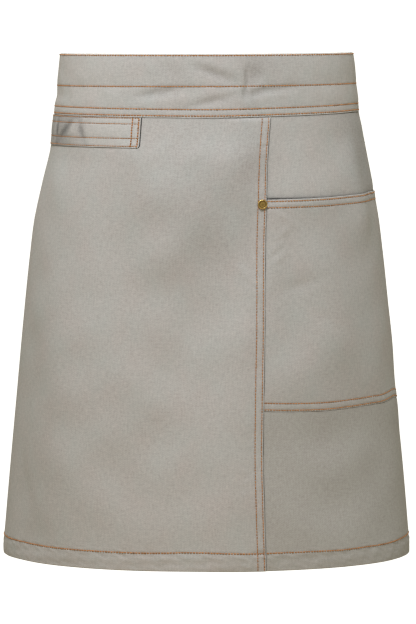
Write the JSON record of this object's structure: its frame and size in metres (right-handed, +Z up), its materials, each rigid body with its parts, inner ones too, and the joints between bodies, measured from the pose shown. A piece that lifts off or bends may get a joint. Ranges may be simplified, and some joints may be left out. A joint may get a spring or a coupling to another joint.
{
  "type": "waist apron",
  "caption": "Waist apron in worn form: folded waistband, lapped front panel, large patch pocket, towel loop, brass rivet and a plain back tie.",
  "frame": {"origin": "middle of the waist, level with the waistband's top edge in front", "axes": "+Z up, the front faces -Y, +X at the right of someone who looks at the front"},
  "size_m": [0.4086, 0.2535, 0.4998],
  "materials": {
    "twill": "cotton twill, grey beige",
    "shade_twill": "cotton twill, grey beige, a shade darker",
    "brass": "antique brass",
    "thread": "copper-coloured topstitching thread"
  },
  "bodies": {
    "root": {"waistband": "twill", "front_panel": "twill", "side_panel": "twill", "lower_panel": "shade_twill", "patch_pocket": "twill", "towel_loop": "twill", "back_tie": "twill", "rivet": "brass"}
  },
  "joints": []
}
